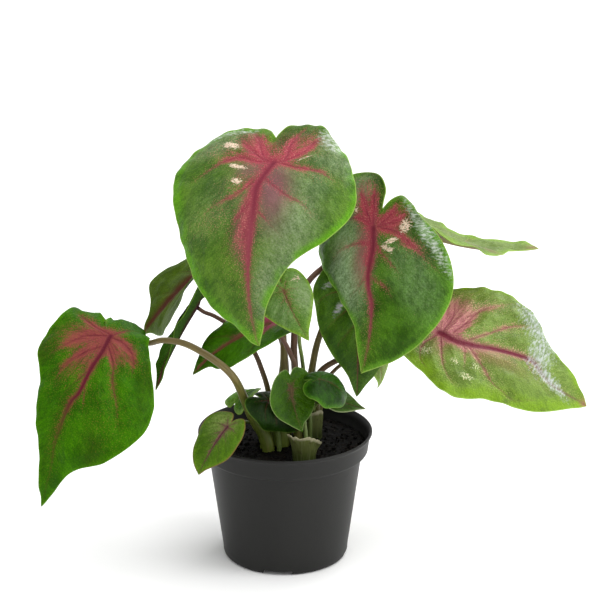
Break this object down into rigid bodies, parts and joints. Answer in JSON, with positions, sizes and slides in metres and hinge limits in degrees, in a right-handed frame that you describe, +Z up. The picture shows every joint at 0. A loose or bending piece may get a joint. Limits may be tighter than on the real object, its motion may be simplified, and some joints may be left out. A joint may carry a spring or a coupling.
{
  "type": "potted caladium plant",
  "caption": "Caladium house plant in a round nursery pot: heart-shaped green leaves with rose-red centres hang from long bent stalks that rise from a tuber in potting soil.",
  "frame": {"origin": "the middle of the pot's foot, on the surface that it stands on", "axes": "+Z is up, +X is to the plant's right seen from its front, and the plant's front faces -Y"},
  "size_m": [0.3648, 0.1868, 0.3011],
  "materials": {
    "pot": "satin",
    "soil": "matte, loose",
    "tuber": "matte",
    "sheath": "satin, papery",
    "leaf_green": "satin, waxy, veined",
    "leaf_dark": "satin, waxy, veined",
    "leaf_lime": "satin, waxy, veined",
    "stalk_olive": "satin",
    "stalk_brown": "satin",
    "stalk_green": "satin"
  },
  "bodies": {
    "root": {"pot": "pot", "soil": "soil", "tuber": "tuber", "sheath_front": "sheath", "sheath_right": "sheath", "stalk_crown": "stalk_olive", "blade_crown": "leaf_green", "stalk_right_upper": "stalk_brown", "blade_right_upper": "leaf_green", "stalk_left_hanging": "stalk_olive", "blade_left_hanging": "leaf_green", "stalk_right_wide": "stalk_brown", "blade_right_wide": "leaf_lime", "stalk_right_back": "stalk_olive", "blade_right_back": "leaf_lime", "stalk_left_back": "stalk_brown", "blade_left_back": "leaf_dark", "stalk_left_folded": "stalk_brown", "blade_left_folded": "leaf_dark", "stalk_left_low": "stalk_brown", "blade_left_low": "leaf_dark", "stalk_middle": "stalk_green", "blade_middle": "leaf_green", "stalk_right_shaded": "stalk_olive", "blade_right_shaded": "leaf_dark", "stalk_front_young": "stalk_green", "blade_front_young": "leaf_green", "stalk_front_curled": "stalk_green", "blade_front_curled": "leaf_dark", "stalk_rim_right": "stalk_green", "blade_rim_right": "leaf_dark", "stalk_front_left": "stalk_green", "blade_front_left": "leaf_dark", "stalk_rim_left": "stalk_green", "blade_rim_left": "leaf_lime", "stalk_back_left": "stalk_green", "blade_back_left": "leaf_lime", "stalk_right_young": "stalk_brown", "blade_right_young": "leaf_lime"}
  },
  "joints": []
}
